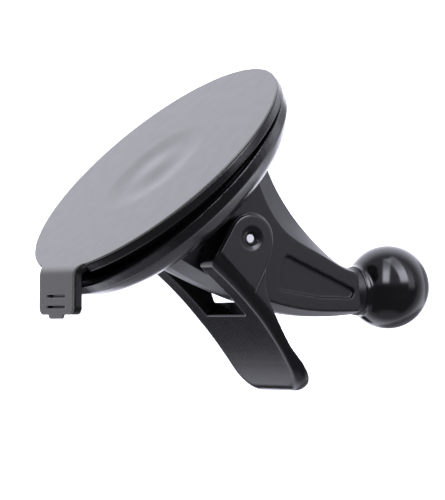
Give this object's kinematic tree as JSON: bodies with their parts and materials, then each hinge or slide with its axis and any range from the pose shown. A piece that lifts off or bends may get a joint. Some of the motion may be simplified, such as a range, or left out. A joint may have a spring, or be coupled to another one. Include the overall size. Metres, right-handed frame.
{
  "type": "windscreen suction mount for a portable navigator",
  "caption": "Suction-cup windscreen mount with a cam lever, a pull tab and an arm ending in a ball that carries a portable navigator.",
  "frame": {"origin": "centre of the round suction face, in the plane that meets the glass", "axes": "+Z out of the suction face towards the glass; +X the way the arm leans, away from the pull tab; +Y along the lever's pin"},
  "size_m": [0.0686, 0.0592, 0.0626],
  "materials": {
    "pad_face": "smooth and tacky, satin dark grey that shines light grey at a low angle",
    "pad_rubber": "semi-gloss black",
    "dish_plastic": "polished black",
    "arm_plastic": "fine moulded texture",
    "ball_plastic": "polished black",
    "screw_steel": "zinc plated",
    "post_plastic": "plain black",
    "spring_steel": "drawn wire",
    "pin_steel": "turned end",
    "lever_plastic": "satin black"
  },
  "bodies": {
    "base": {"pad_face": "pad_face", "suction_pad": "pad_rubber", "base_dish": "dish_plastic", "arm": "arm_plastic", "arm_screws": "screw_steel", "ball": "ball_plastic", "return_spring": "spring_steel"},
    "puller": {"pull_post": "post_plastic", "pivot_pin": "pin_steel"},
    "lever": {"lever": "lever_plastic"}
  },
  "joints": [
    {"name": "pull", "type": "slide", "parent": "base", "child": "puller", "axis": [0.0471, 0, -0.9989], "range_m": [0, 0.00401], "deforming": ["return_spring"]},
    {"name": "lever_swing", "type": "hinge", "parent": "puller", "child": "lever", "pos_m": [0.00048, 0, -0.01968], "axis": [0, 1, 0], "range_deg": [0, 90]}
  ],
  "couplings": [
    {"joint": "pull", "follows": "lever_swing", "m_per_rad": 0.0025465}
  ]
}
